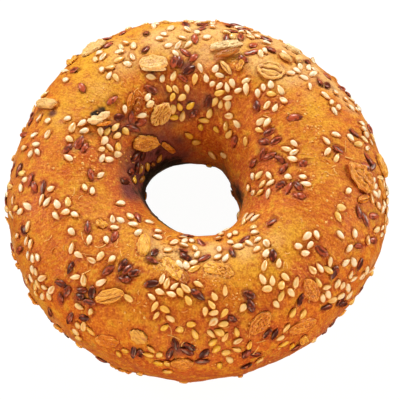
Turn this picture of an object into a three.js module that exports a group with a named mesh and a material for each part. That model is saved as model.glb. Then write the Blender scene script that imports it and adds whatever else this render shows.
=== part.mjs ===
// A seeded ring bagel, in millimetres, +Z up. It stands on the flat of its underside at z = 0,
// and the middle of its outline is on the Z axis. The dough is one solid piece.
import * as THREE from "three";

// Driving dimensions.
const OUTER_RADIUS = 53.8; // mean radius of the outline, seen from above
const HOLE_RADIUS = 13.3; // mean radius of the hole where it is narrowest
const CREST_HEIGHT = 38; // mean height of the top of the ring
const WAIST_SHARE = 0.47; // height of the widest part, as a share of the crest's height
const PRESSED_SHARE = 0.07; // how much of the lower half is pressed away by the baking tray

// How full the rounded section is: 2 is an ellipse, and more is squarer.
const DOME_FULLNESS = 2.0;
const BASE_FULLNESS = 2.35;

// A ring shaped by hand isn't quite round. Each lobe swells a radius or a height by "swell"
// at the turn "at", in degrees from +X towards +Y, and again "waves" times a turn.
const OUTLINE_LOBES = [
  { waves: 2, swell: 0.25, at: -88 },
  { waves: 3, swell: 0.65, at: -9 },
  { waves: 4, swell: 0.2, at: 25 },
  { waves: 5, swell: 0.2, at: -22 },
];
const HOLE_LOBES = [
  { waves: 1, swell: 1.05, at: -137 },
  { waves: 2, swell: 0.86, at: -49 },
  { waves: 3, swell: 0.57, at: 60 },
  { waves: 4, swell: 0.23, at: -30 },
];
const CREST_LOBES = [
  { waves: 1, swell: 0.5, at: -60 },
  { waves: 3, swell: 0.4, at: 15 },
];

// Fineness of the mesh.
const STEPS_AROUND_RING = 112;
const STEPS_AROUND_SECTION = 32;

// The sum of the lobes at one turn, in millimetres.
function swellAt(lobes, turn) {
  const wave = ({ waves, swell, at }) => swell * Math.cos(waves * (turn - THREE.MathUtils.degToRad(at)));
  return lobes.reduce((sum, lobe) => sum + wave(lobe), 0);
}

// A cosine or sine drawn out from a circle's to a squarer superellipse's.
function squared(value, fullness) {
  return Math.sign(value) * Math.abs(value) ** (2 / fullness);
}

// The point of the surface at a turn around the ring and a roll around its section, both in
// radians. Roll 0 is the outer waist and a quarter turn is the crest.
function surfacePoint(turn, roll) {
  const outer = OUTER_RADIUS + swellAt(OUTLINE_LOBES, turn);
  const inner = HOLE_RADIUS + swellAt(HOLE_LOBES, turn);
  const crest = CREST_HEIGHT + swellAt(CREST_LOBES, turn);
  const waist = WAIST_SHARE * CREST_HEIGHT;
  const above = Math.sin(roll) > 0;
  const fullness = above ? DOME_FULLNESS : BASE_FULLNESS;
  const reach = above ? crest - waist : waist * (1 + PRESSED_SHARE);
  const radius = (outer + inner) / 2 + ((outer - inner) / 2) * squared(Math.cos(roll), fullness);
  const height = Math.max(0, waist + reach * squared(Math.sin(roll), fullness));
  return new THREE.Vector3(radius * Math.cos(turn), radius * Math.sin(turn), height);
}

// The ring: a torus whose points are moved to the surface, then centred over its outline.
function doughRing() {
  const geometry = new THREE.TorusGeometry(
    (OUTER_RADIUS + HOLE_RADIUS) / 2,
    (OUTER_RADIUS - HOLE_RADIUS) / 2,
    STEPS_AROUND_SECTION,
    STEPS_AROUND_RING,
  );
  const position = geometry.getAttribute("position");
  const uv = geometry.getAttribute("uv");
  const fullTurn = 2 * Math.PI;
  for (let i = 0; i < position.count; i++) {
    // The last row and column lie on the first, so that the surface closes exactly.
    const turn = (uv.getX(i) % 1) * fullTurn;
    const roll = (uv.getY(i) % 1) * fullTurn;
    position.setXYZ(i, ...surfacePoint(turn, roll));
  }
  geometry.computeBoundingBox();
  const middle = geometry.boundingBox.getCenter(new THREE.Vector3());
  geometry.translate(-middle.x, -middle.y, 0);
  geometry.computeVertexNormals();
  return geometry;
}

// Baked crust: golden orange, with a slight shine.
const crust = new THREE.MeshStandardMaterial({ color: 0xd9822b, roughness: 0.5, metalness: 0 });

const ring = new THREE.Mesh(doughRing(), crust);
ring.name = "bagel_ring";

const bagel = new THREE.Group();
bagel.add(ring);

export default bagel;
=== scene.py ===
"""A seeded ring bagel: its baked crust and all that is scattered on it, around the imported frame."""

import math
from collections import namedtuple
from contextlib import contextmanager

import bmesh
import bpy
import numpy as np
from mathutils import Matrix, Vector, noise
from mathutils.bvhtree import BVHTree
from mathutils.kdtree import KDTree


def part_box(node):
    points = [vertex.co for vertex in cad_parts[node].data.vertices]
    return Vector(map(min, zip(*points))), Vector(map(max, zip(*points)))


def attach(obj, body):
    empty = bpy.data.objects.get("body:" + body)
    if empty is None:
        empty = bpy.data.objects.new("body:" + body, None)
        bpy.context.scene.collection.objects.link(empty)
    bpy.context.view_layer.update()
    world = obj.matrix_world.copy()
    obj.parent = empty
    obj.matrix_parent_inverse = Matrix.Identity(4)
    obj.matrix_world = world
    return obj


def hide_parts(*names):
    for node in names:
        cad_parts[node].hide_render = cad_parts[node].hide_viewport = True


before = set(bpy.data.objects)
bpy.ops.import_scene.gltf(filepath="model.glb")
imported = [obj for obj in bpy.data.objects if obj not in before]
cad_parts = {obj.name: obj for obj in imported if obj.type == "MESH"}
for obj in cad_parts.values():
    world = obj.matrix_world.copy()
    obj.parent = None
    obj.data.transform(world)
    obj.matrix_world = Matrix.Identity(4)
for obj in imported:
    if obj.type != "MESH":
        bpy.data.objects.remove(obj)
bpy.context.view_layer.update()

bl_info = {
    "name": "Seeded Ring Bagel",
    "version": (1, 0, 0),
    "blender": (4, 5, 0),
    "location": "View3D > Sidebar > Bagel",
    "description": "Models a baked ring bagel with sesame, linseed, rolled flakes, bran and crumbs",
    "category": "Object",
}

MM = 0.001
RING_NODE = "bagel_ring"
BODY = "root"

# ------------------------------------------------------------------ where the toppings lie
#
# Places are given as the camera sees them, in pixels of its square picture, from the top left.

PICTURE_SIDE = 400

# A rolled flake or a kernel. heading is the way its length runs in the picture, in degrees
# anticlockwise from the right. length and width are in mm. tone runs from -1, bare meal, over 0,
# pale straw, and 1, toasted, to 2, burnt. rise is how far its middle stands off the crust, in mm,
# and tip lifts its far edge, or its near edge where it is negative, in degrees.
Flake = namedtuple("Flake", "x y heading length width form tone rise tip", defaults=(0.3, 0))

FLAKES = (
    Flake(153, 64, 3, 8.0, 4.6, "slab", -0.45, 0.7, -4),
    Flake(154, 70, 1, 7.0, 1.1, "lip", -0.9, 0.8),
    Flake(160, 114, 56, 7.4, 5.0, "wrinkled", -0.15, 0.7, 4),
    Flake(145, 143, 2, 8.4, 4.8, "rough", 0.55, 0.6, -4),
    # A kernel that burst into three lobes.
    Flake(95, 121, 6, 4.2, 2.4, "lobed", -1.0, 0.9),
    Flake(103, 117, 24, 4.0, 2.0, "lobed", -1.0, 1.1),
    Flake(104, 124, 12, 4.4, 1.2, "lobed", 0.8, 0.6),
    Flake(48, 105, -6, 9.2, 3.1, "thick", -0.50, 0.9),
    Flake(94, 49, 30, 8.0, 5.0, "curled", -0.50, 0.5, 6),
    Flake(72, 61, 40, 3.8, 3.0, "chip", 0.25, 0.5, 12),
    Flake(271, 71, -8, 8.0, 5.8, "eye", -0.35, 0.4),
    # A rolled strip with a second one along its near side.
    Flake(226, 47, 10, 9.6, 2.8, "curled", -0.95, 0.9),
    Flake(227, 55, 17, 7.4, 2.0, "kernel", 1.50, 1.1),
    # A flake that opened into a ring.
    Flake(285, 59, -38, 4.4, 2.1, "kernel", -0.45, 0.8),
    Flake(298, 61, 55, 3.4, 2.1, "chunk", -0.45, 0.8),
    Flake(292, 51, -30, 5.6, 1.8, "chunk", -0.90, 0.6),
    Flake(360, 179, -50, 10.4, 6.0, "folded", 0.60, 0.8, 4),
    Flake(381, 166, -68, 7.4, 4.0, "kernel", 0.10, 0.5),
    Flake(144, 245, 84, 7.4, 3.5, "block", 0.05, 0.1),
    Flake(172, 268, -54, 8.4, 3.6, "floury", -0.10, -0.1),
    Flake(182, 276, -60, 4.8, 3.2, "floury", 1.50, 0.0),
    Flake(110, 296, 15, 8.2, 3.7, "split", 0.30, 0.6),
    Flake(139, 336, -28, 4.9, 3.9, "chunk", -0.20, 0.5, 6),
    Flake(107, 341, -6, 7.2, 4.2, "buried", 1.02, -0.1, -10),
    Flake(182, 363, 2, 6.2, 3.8, "ribbed", 0.65, 0.15),
    Flake(214, 268, -8, 5.6, 4.0, "floury", -0.05, 0.0),
    Flake(225, 271, -30, 4.8, 3.4, "rough", 0.45, 0.0),
    Flake(311, 290, -62, 7.2, 4.2, "ribbed", 0.95, 0.1),
    Flake(260, 323, 48, 7.8, 4.4, "leaf", 0.80, 0.1),
    Flake(303, 326, 20, 9.0, 4.4, "leaf", 1.05, 0.0, -6),
    Flake(303, 339, -80, 3.8, 2.6, "chip", -0.10, 0.4, 10),
    Flake(168, 147, -36, 5.8, 1.7, "stick", 0.85, 0.6),
    Flake(101, 224, -30, 3.4, 2.6, "chip", 0.30, 0.2),
    Flake(18, 266, 80, 3.4, 2.0, "chip", 0.50, 0.3),
    Flake(58, 330, -50, 3.0, 2.2, "chip", 0.60, 0.3),
    Flake(226, 68, -50, 5.0, 1.7, "split", -0.40, 0.5),
    Flake(240, 66, 60, 3.6, 1.8, "chip", 0.30, 0.5),
    Flake(363, 199, 18, 4.8, 2.2, "split", 1.05, 0.3),
    Flake(381, 190, -74, 6.0, 2.4, "kernel", 0.50, 0.3),
    Flake(138, 105, 65, 4.0, 2.0, "chip", 1.50, 0.3),
    Flake(150, 104, 30, 2.6, 1.7, "lobed", -0.9, 0.5),
    Flake(130, 100, 75, 4.2, 1.6, "split", 0.90, 0.3),
)

# Where the crust took on another colour, much of it painted light and shade: gold also where
# light falls, red and scorched also where shade falls, dry also as pale rim light along the
# outline, and the black of the painted shadow places in dark hollows. A row gives the place, how
# far the colour reaches in pixels, and how strong it is in the middle, from 0 to 1.

# Partly painted light: gold where light falls on the back, the top and the near slope of the hole.
GOLD_AND_LIGHT_PLACES = (
    (95, 60, 62, 1.0), (165, 35, 60, 0.95), (60, 115, 42, 0.8), (225, 38, 48, 0.75), (275, 70, 44, 0.85),
    (320, 105, 40, 0.6), (355, 150, 34, 0.3), (100, 100, 44, 0.8), (300, 130, 40, 0.35), (168, 258, 34, 1.0),
    (205, 250, 30, 0.7), (245, 255, 38, 0.9), (290, 232, 36, 0.75), (135, 228, 26, 0.6), (225, 275, 30, 0.6),
    (275, 262, 26, 0.8), (40, 300, 24, 0.5), (352, 250, 22, 0.5), (115, 325, 26, 0.35), (150, 342, 22, 0.3),
    (90, 250, 24, 0.2), (22, 275, 22, 0.3), (375, 215, 26, 0.3), (268, 268, 28, 0.7), (195, 32, 36, 0.9),
    (240, 240, 22, 0.6), (150, 245, 20, 0.6), (120, 45, 40, 0.6), (250, 50, 34, 0.6), (285, 245, 26, 0.5),
    (330, 180, 40, 0.3), (185, 300, 22, 0.3),
)
# Partly painted light: pale rim light along the outline and on the near slope of the hole, which also has
# some flour.
DRY_AND_RIM_LIGHT_PLACES = (
    (166, 256, 20, 1.0), (178, 268, 14, 0.8), (155, 248, 16, 0.7), (210, 250, 22, 0.9), (215, 268, 18, 0.8),
    (245, 250, 22, 0.7), (188, 258, 18, 0.7), (150, 236, 16, 0.5), (275, 240, 20, 0.4), (160, 38, 34, 0.9),
    (195, 30, 30, 1.0), (230, 40, 34, 0.9), (262, 62, 28, 0.9), (285, 78, 24, 0.7), (125, 60, 30, 0.7),
    (205, 55, 26, 0.7), (300, 70, 20, 0.6), (115, 45, 24, 0.5), (300, 53, 30, 0.9), (325, 80, 28, 0.9),
    (275, 42, 30, 0.9), (285, 48, 24, 0.8), (312, 66, 24, 0.9), (338, 92, 22, 0.8), (100, 90, 26, 0.3),
    (310, 95, 16, 0.3), (60, 120, 20, 0.3), (12, 165, 14, 0.5), (10, 245, 16, 0.7), (20, 285, 16, 0.5),
    (55, 320, 18, 0.4), (387, 190, 16, 0.5), (373, 262, 14, 0.5), (350, 105, 22, 0.8), (245, 30, 24, 0.9),
    (368, 130, 18, 0.5), (178, 48, 22, 0.7), (215, 27, 24, 0.9), (262, 38, 22, 0.8), (300, 75, 22, 0.6),
    (180, 250, 14, 0.6),
)
# Partly painted shade: red low on the front, on the flank and on the far wall of the hole.
RED_AND_SHADE_PLACES = (
    (200, 378, 74, 1.0), (270, 362, 60, 1.0), (325, 330, 48, 1.0), (140, 368, 46, 0.7), (350, 300, 34, 0.6),
    (300, 268, 28, 0.55), (90, 345, 30, 0.4), (225, 140, 34, 0.7), (242, 172, 28, 0.8), (200, 150, 30, 0.6),
    (262, 165, 28, 0.5), (325, 215, 26, 0.3), (45, 160, 22, 0.25), (160, 330, 30, 0.4), (230, 330, 34, 0.5),
    (126, 196, 26, 0.8), (115, 178, 24, 0.6), (95, 160, 26, 0.5), (85, 200, 28, 0.6), (338, 185, 26, 0.5),
    (255, 112, 24, 0.5), (245, 205, 16, 0.6), (258, 200, 28, 0.9), (130, 205, 34, 0.9), (115, 145, 24, 0.7),
)
# Mostly painted shade, in the hole, in hollows and under flakes, with some scorched crust.
SCORCH_AND_SHADE_PLACES = (
    (150, 132, 26, 0.6), (128, 124, 18, 0.65), (136, 160, 22, 0.75), (156, 152, 22, 0.85),
    (180, 112, 26, 0.55), (203, 98, 20, 0.4), (140, 180, 30, 0.9), (175, 140, 22, 0.45), (130, 192, 26, 0.8),
    (168, 122, 12, 0.6), (225, 150, 26, 0.1), (122, 168, 22, 0.4), (148, 96, 14, 0.35), (190, 100, 26, 0.5),
    (215, 105, 20, 0.35), (124, 150, 18, 0.4), (165, 92, 16, 0.5), (100, 113, 8, 0.8), (106, 128, 10, 0.7),
    (188, 68, 14, 0.8), (155, 86, 10, 0.3), (72, 148, 11, 0.4), (38, 112, 8, 0.5), (118, 278, 9, 0.35),
    (80, 298, 13, 0.55), (246, 296, 11, 0.5), (178, 350, 14, 0.7), (232, 318, 10, 0.4), (152, 75, 10, 0.7),
    (238, 190, 14, 0.5), (160, 226, 10, 0.25), (262, 150, 12, 0.3), (90, 135, 10, 0.35), (250, 352, 10, 0.35),
    (114, 344, 6, 0.7), (53, 113, 9, 0.9), (330, 86, 14, 0.4), (112, 126, 14, 0.5), (166, 134, 12, 0.5),
    (126, 172, 16, 0.5), (130, 190, 14, 0.8), (150, 257, 8, 0.6),
)
# Painted shadow: black in hollows, under flakes and between seeds.
PAINTED_SHADOW_PLACES = (
    (146, 176, 12, 0.8), (158, 153, 8, 0.6), (133, 179, 7, 0.6), (94, 114, 7, 1.0), (140, 194, 14, 0.7),
    (138, 170, 14, 0.35), (101, 111, 8, 0.9), (108, 130, 9, 0.8), (116, 128, 8, 0.7), (133, 190, 10, 0.5),
    (127, 119, 6, 0.5), (134, 111, 6, 0.4), (124, 130, 6, 0.5), (165, 106, 5, 0.6), (190, 112, 7, 0.6),
    (188, 104, 7, 0.6), (139, 150, 6, 0.4), (150, 155, 6, 0.5), (153, 73, 5, 0.5), (141, 158, 6, 0.5),
    (129, 148, 6, 0.3), (137, 183, 8, 0.6), (122, 132, 8, 0.4), (153, 93, 4, 0.9), (291, 57, 4, 0.9),
    (82, 298, 5, 0.5), (64, 292, 5, 0.5), (143, 352, 5, 0.5), (178, 350, 5, 0.5), (190, 66, 5, 0.4),
)

# The same on the wall of the hole, all of it painted shade and painted shadow. A row gives the
# azimuth, in degrees anticlockwise from the right, the height and the reach in mm, and the strength.

# Painted shadow: black low on the wall of the hole.
PAINTED_SHADOW_WALL = (
    (128, 13, 9, 1.0), (142, 15, 9, 1.0), (156, 16, 8, 1.0), (170, 17, 6.5, 0.95), (184, 18, 7.5, 1.0),
    (198, 20, 7.5, 1.0), (212, 22, 7, 1.0), (226, 24, 6, 0.95), (112, 9, 7, 1.0), (240, 25.5, 4.5, 0.8),
    (96, 7.5, 5.5, 1.0), (80, 7.5, 5, 1.0), (64, 8.5, 5, 0.9), (48, 10, 5, 0.7), (32, 13, 4, 0.5),
    (16, 16, 4, 0.5), (0, 18.5, 5, 0.7), (345, 21, 5, 0.8),
)
# Painted shade on the wall of the hole.
PAINTED_SHADE_WALL = (
    (120, 18, 12, 0.8), (140, 22, 12, 0.8), (160, 23, 11, 0.8), (90, 13, 8, 0.25), (65, 13, 8, 0.2),
    (40, 15, 8, 0.3), (180, 22, 10, 0.8), (200, 23, 8, 0.7), (222, 25, 6, 0.5), (0, 20, 7, 0.6),
)

# Where seeds fell together. A row gives the place, the reach in pixels, and how many lie there.

SESAME_PATCHES = (
    # Over the back, from left to right.
    (68, 76, 6, 2), (98, 55, 6, 4), (122, 52, 14, 7), (110, 73, 9, 4), (165, 29, 13, 7), (194, 27, 9, 6),
    (184, 45, 9, 6), (154, 77, 9, 3), (178, 87, 13, 9), (180, 108, 13, 5), (209, 30, 9, 4), (233, 34, 9, 4),
    (201, 75, 8, 4), (221, 78, 13, 7), (241, 58, 6, 2), (258, 45, 11, 6), (243, 86, 9, 4), (223, 98, 10, 5),
    (205, 113, 9, 2), (270, 98, 14, 8), (283, 56, 3, 1), (307, 71, 11, 6), (311, 90, 4, 1), (248, 33, 7, 2),
    (174, 50, 7, 2), (150, 79, 6, 1), (288, 70, 5, 1), (320, 72, 6, 1),
    # The left side, from back to front.
    (48, 97, 4, 1), (43, 123, 8, 2), (74, 129, 12, 5), (112, 134, 14, 6), (132, 113, 11, 4), (148, 100, 7, 2),
    (34, 152, 10, 4), (108, 151, 11, 6), (69, 156, 4, 1), (27, 181, 9, 3), (9, 186, 7, 2), (46, 194, 9, 3),
    (90, 183, 14, 3), (22, 212, 8, 2), (64, 212, 12, 5), (26, 232, 9, 2), (33, 252, 9, 4), (81, 241, 14, 3),
    (121, 214, 12, 4), (107, 240, 4, 1), (110, 128, 8, 2), (30, 131, 7, 1), (50, 130, 7, 1), (112, 228, 6, 1),
    (130, 228, 6, 1), (128, 106, 5, 1), (12, 210, 6, 1),
    # The wall of the hole.
    (194, 131, 11, 3), (152, 161, 8, 3), (135, 173, 9, 3), (216, 159, 9, 3), (225, 125, 12, 5),
    (246, 144, 4, 1),
    # The right side, from back to front.
    (337, 104, 15, 8), (356, 111, 6, 2), (264, 128, 11, 3), (362, 138, 13, 7), (336, 146, 14, 4),
    (285, 149, 13, 6), (261, 185, 13, 10), (296, 182, 11, 4), (378, 188, 11, 6), (346, 193, 4, 1),
    (341, 215, 9, 2), (380, 218, 13, 6), (252, 226, 11, 6), (309, 243, 11, 5), (349, 239, 12, 3),
    (366, 128, 7, 2), (268, 248, 7, 2),
    # The front, from the hole to the rim and from left to right.
    (35, 277, 9, 5), (48, 289, 10, 4), (75, 288, 12, 3), (82, 263, 10, 2), (106, 264, 11, 2),
    (147, 232, 13, 4), (187, 245, 9, 6), (229, 242, 12, 7), (255, 245, 10, 4), (187, 266, 10, 5),
    (221, 257, 8, 4), (118, 284, 18, 2), (164, 287, 12, 6), (188, 290, 13, 8), (203, 263, 10, 4),
    (271, 276, 15, 7), (216, 285, 13, 2), (324, 275, 14, 6), (350, 267, 11, 3), (331, 293, 11, 4),
    (292, 288, 7, 2), (274, 300, 9, 2), (245, 306, 4, 1), (369, 270, 6, 1), (82, 313, 10, 2),
    (84, 332, 11, 5), (118, 344, 14, 2), (164, 316, 14, 5), (213, 315, 12, 6), (186, 332, 14, 3),
    (217, 334, 12, 5), (241, 341, 11, 4), (290, 338, 14, 4), (290, 314, 13, 2), (350, 299, 7, 3),
    (154, 354, 10, 4), (167, 365, 6, 2), (138, 370, 4, 1), (218, 358, 12, 4), (258, 354, 6, 1),
    (317, 336, 6, 1), (174, 249, 7, 2), (170, 290, 8, 2), (190, 290, 7, 1), (208, 308, 6, 2),
    (150, 292, 6, 1), (381, 201, 7, 3), (378, 185, 4, 1), (379, 229, 6, 3), (372, 198, 4, 1),
    (386, 191, 4, 1), (371, 238, 5, 1), (369, 272, 5, 2), (14, 199, 4, 1), (27, 207, 4, 1), (9, 191, 5, 1),
    (25, 225, 4, 1), (10, 216, 4, 1), (38, 290, 5, 2), (33, 272, 4, 1), (341, 289, 8, 3), (356, 276, 6, 2),
)

LINSEED_PATCHES = (
    # Over the back, from left to right.
    (108, 42, 7, 2), (125, 32, 3, 1), (147, 33, 3, 1), (147, 50, 3, 1), (75, 73, 3, 1), (85, 89, 3, 1),
    (183, 25, 3, 1), (196, 41, 3, 1), (184, 62, 11, 5), (183, 76, 4, 1), (210, 29, 9, 2), (232, 36, 12, 5),
    (252, 47, 6, 2), (246, 30, 3, 1), (266, 37, 3, 1), (273, 48, 3, 1), (243, 62, 3, 1), (305, 61, 4, 1),
    (323, 81, 7, 3), (345, 92, 6, 2), (209, 102, 3, 1), (255, 106, 4, 1), (295, 119, 3, 1),
    # The left side, from back to front.
    (31, 117, 5, 2), (27, 135, 3, 1), (64, 150, 5, 1), (80, 146, 7, 4), (113, 102, 3, 1), (153, 90, 3, 1),
    (122, 119, 4, 1), (138, 153, 7, 2), (130, 166, 7, 2), (136, 122, 8, 3), (88, 176, 3, 1), (39, 182, 9, 3),
    (15, 167, 7, 2), (124, 182, 4, 1), (28, 232, 5, 1), (14, 248, 7, 2), (89, 227, 3, 1), (115, 237, 4, 1),
    (136, 216, 4, 1),
    # The right side, from back to front.
    (272, 138, 9, 4), (189, 110, 7, 1), (266, 152, 6, 3), (237, 143, 3, 1), (252, 161, 3, 1),
    (279, 167, 8, 2), (304, 166, 3, 1), (357, 135, 4, 1), (370, 133, 5, 2), (340, 148, 3, 1),
    (368, 164, 6, 3), (283, 188, 6, 2), (300, 193, 8, 3), (359, 195, 3, 1), (366, 213, 8, 3),
    (271, 220, 4, 1), (323, 253, 3, 1), (357, 246, 4, 1), (376, 238, 4, 1), (361, 262, 4, 1),
    # The front, from left to right.
    (70, 269, 4, 1), (64, 287, 6, 2), (62, 298, 3, 1), (107, 272, 4, 2), (127, 272, 8, 4), (151, 256, 5, 2),
    (150, 283, 4, 1), (90, 290, 4, 1), (88, 296, 9, 5), (83, 318, 4, 2), (72, 319, 3, 1), (53, 314, 4, 1),
    (138, 352, 5, 2), (171, 351, 5, 2), (188, 351, 5, 2), (180, 346, 6, 2), (101, 356, 4, 1),
    (184, 254, 6, 2), (186, 239, 3, 1), (205, 243, 4, 1), (243, 241, 3, 1), (206, 259, 3, 1),
    (236, 253, 5, 2), (274, 256, 4, 1), (200, 297, 3, 1), (229, 318, 5, 1), (251, 302, 8, 3),
    (299, 298, 4, 1), (269, 332, 6, 2), (337, 274, 4, 1), (361, 285, 4, 1), (341, 303, 6, 2),
    (333, 325, 4, 1), (294, 349, 4, 1), (248, 356, 8, 2), (246, 367, 3, 1), (204, 358, 5, 2),
    (326, 310, 4, 1),
)

# Where crumbs and slivers of bran gathered.
CRUMB_PATCHES = (
    (168, 262, 16, 46), (300, 105, 22, 26), (315, 132, 12, 18), (310, 170, 20, 24), (85, 160, 16, 22),
    (125, 250, 20, 16), (90, 110, 18, 12), (215, 275, 18, 22), (240, 295, 22, 14), (140, 320, 22, 12),
    (340, 205, 16, 12), (265, 245, 14, 14), (115, 92, 14, 8), (60, 165, 14, 8), (300, 220, 26, 12),
    (200, 345, 28, 12), (270, 345, 30, 12), (230, 60, 24, 12), (145, 105, 16, 14), (130, 165, 14, 10),
)
SLIVER_PATCHES = (
    (158, 240, 14, 5), (92, 250, 14, 5), (88, 275, 8, 2), (112, 250, 8, 3), (285, 258, 8, 3),
    (285, 270, 10, 3), (228, 297, 8, 2), (180, 325, 14, 4), (235, 65, 8, 2), (266, 113, 4, 2),
    (78, 195, 5, 2), (137, 95, 6, 3), (215, 120, 10, 2), (325, 165, 14, 4), (60, 240, 16, 3),
    (300, 300, 14, 3), (185, 335, 14, 3), (260, 345, 16, 3), (340, 150, 10, 2), (120, 40, 14, 3),
    (240, 50, 14, 3), (150, 300, 16, 3), (220, 335, 16, 3),
)


# ------------------------------------------------------------------ small helpers


def linear(hex_colour):
    """An sRGB hex colour as the linear colour that shaders take."""
    channels = [int(hex_colour[i : i + 2], 16) / 255 for i in (0, 2, 4)]
    return tuple(c / 12.92 if c <= 0.04045 else ((c + 0.055) / 1.055) ** 2.4 for c in channels) + (1.0,)


def length_setting(name, description, default):
    """A length that the user may change."""
    return bpy.props.FloatProperty(
        name=name, description=description, default=default, min=0.0, unit="LENGTH", precision=5
    )


def colour_setting(name, description, hex_colour):
    """A colour that the user may change."""
    return bpy.props.FloatVectorProperty(
        name=name, description=description, default=linear(hex_colour), size=4, subtype="COLOR"
    )


def select_only(piece):
    """Makes one object the selected and active one."""
    bpy.ops.object.select_all(action="DESELECT")
    piece.select_set(True)
    bpy.context.view_layer.objects.active = piece


def started(primitive, name, **settings):
    """Adds a primitive, a light or a camera with nothing else selected, and names it."""
    bpy.ops.object.select_all(action="DESELECT")
    primitive(**settings)
    bpy.context.object.name = name
    return bpy.context.object


@contextmanager
def editing(piece, kind="VERT"):
    """Opens a piece in edit mode with all of it selected, and closes it again."""
    select_only(piece)
    bpy.ops.object.mode_set(mode="EDIT")
    bpy.ops.mesh.select_mode(type=kind)
    bpy.ops.mesh.select_all(action="SELECT")
    yield
    bpy.ops.object.mode_set(mode="OBJECT")


def select_where(piece, test):
    """In edit mode, selects the vertices whose place passes a test, and no others."""
    shape = bmesh.from_edit_mesh(piece.data)
    for vertex in shape.verts:
        vertex.select_set(test(vertex.co))
    shape.select_flush_mode()
    bmesh.update_edit_mesh(piece.data)


def finish_with(piece, kind, **settings):
    """Adds a modifier with its settings and applies it."""
    select_only(piece)
    modifier = piece.modifiers.new(kind.title(), kind)
    for name, value in settings.items():
        setattr(modifier, name, value)
    bpy.ops.object.modifier_apply(modifier=modifier.name)


def blank_material(name):
    """An empty material, with its node tree and its shader."""
    material = bpy.data.materials.new(name)
    material.use_nodes = True
    tree = material.node_tree
    return material, tree, tree.nodes["Principled BSDF"]


def fill_inputs(tree, node, inputs):
    """Gives a node's inputs their values or their links."""
    for socket, value in inputs.items():
        if isinstance(value, bpy.types.NodeSocket):
            tree.links.new(value, node.inputs[socket])
        else:
            node.inputs[socket].default_value = value


def add_node(tree, kind, inputs, output=0, **settings):
    """Adds a node with its own settings and its inputs filled, and gives one of its outputs."""
    node = tree.nodes.new("ShaderNode" + kind)
    for name, value in settings.items():
        setattr(node, name, value)
    fill_inputs(tree, node, inputs)
    return node.outputs[output]


# The sockets of a Mix node that mixes colours.
MIX_FACTOR = 0
MIX_FIRST = 6
MIX_SECOND = 7
MIX_RESULT = 2

# A colour laid over what is under it: it starts to show where the pattern passes start, and
# covers by its share past end. One with the blend MULTIPLY shades what is under it.
Layer = namedtuple("Layer", "pattern start end share colour blend", defaults=("MIX",))


def layered(tree, colour, layers):
    """A ground colour with layers of other colours over it."""
    for pattern, start, end, share, paint, blend in layers:
        edges = {"Value": pattern, "From Min": start, "From Max": end, "To Max": share}
        cover = add_node(tree, "MapRange", edges, interpolation_type="SMOOTHSTEP")
        pair = {MIX_FACTOR: cover, MIX_FIRST: colour, MIX_SECOND: paint}
        colour = add_node(tree, "Mix", pair, MIX_RESULT, data_type="RGBA", blend_type=blend)
    return colour


# ------------------------------------------------------------------ settings


class BagelCrustSettings(bpy.types.PropertyGroup):
    hole_radius: length_setting("Hole radius", "Mean radius of the hole", 13.3 * MM)
    lump_depth: length_setting("Lump depth", "Depth of the broad lumps of hand-shaped dough", 1.3 * MM)
    dimple_depth: length_setting("Dimple depth", "Depth of the dimples between blisters", 0.5 * MM)
    pimple_depth: length_setting("Pimple depth", "Height of the finest blisters", 0.2 * MM)
    lip: length_setting("Lip", "How far the dough swells up round a seed", 0.2 * MM)
    # Gold is partly the crust's own colour and partly painted light where light falls.
    gold: colour_setting("Gold", "Crust where it dried first", "EEB832")
    orange: colour_setting("Orange", "Crust over most of the ring", "DA7C20")
    # Red brown is partly the crust's own colour and partly painted shade low on the flank, on the front and
    # in the hole.
    red: colour_setting("Red brown", "Crust low on the flank and in the hole", "CE6230")
    # Scorched is mostly painted shade, in the hole and in hollows, with some scorched crust.
    scorched: colour_setting("Scorched", "Crust that caught the heat", "76404A")
    # Painted shadow: black in the hollows and low on the wall of the hole.
    charred: colour_setting("Charred", "The deepest scorched places", "120806")
    # Oily is the colour of random darker mottles and of the painted contact shade round each seed.
    oily: colour_setting("Oily", "Crust close to a seed", "B04A28")
    pale: colour_setting("Pale", "Dry specks on the blisters", "F8C04C")
    # Dry is partly flour and partly painted rim light along the outline and on the near slope of the hole.
    dry: colour_setting("Dry", "Crust that dried pale, with a little flour on it", "F4D294")
    shade: colour_setting("Shade", "Pits between the finest blisters, times the crust", "DCB084")
    toasted: colour_setting("Toasted", "The underside, dry from the tray", "B9763A")
    flour: colour_setting("Flour", "The fine flour on the skin", "FFF0D4")


class BagelSesameSettings(bpy.types.PropertyGroup):
    length: length_setting("Length", "Length of a sesame seed", 3.0 * MM)
    width: length_setting("Width", "Width of a sesame seed", 1.75 * MM)
    thickness: length_setting("Thickness", "Thickness of a sesame seed", 1.05 * MM)
    cream: colour_setting("Cream", "A seed that stayed pale", "FFF8E2")
    # Golden is toasted by chance, and painted warm shade where a seed lies turned from the light.
    golden: colour_setting("Golden", "A seed that was toasted", "F8CC40")
    # Rim is partly browning and partly painted shade on a seed's sides, underside and creases.
    rim: colour_setting("Rim", "The thin rim of a seed, which browned first", "E49E2E")
    # Scorched is painted shade on seeds that lie on the scorched places.
    scorched: colour_setting("Scorched", "A seed that lies on scorched crust", "96582A")


class BagelLinseedSettings(bpy.types.PropertyGroup):
    length: length_setting("Length", "Length of a linseed", 4.0 * MM)
    width: length_setting("Width", "Width of a linseed", 1.95 * MM)
    thickness: length_setting("Thickness", "Thickness of a linseed", 1.0 * MM)
    dark: colour_setting("Dark", "The darkest seeds", "4A1C15")
    chestnut: colour_setting("Chestnut", "The lightest seeds", "CE6240")
    torn: colour_setting("Torn", "The pale edge of a split seed coat", "DE9A70")


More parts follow.
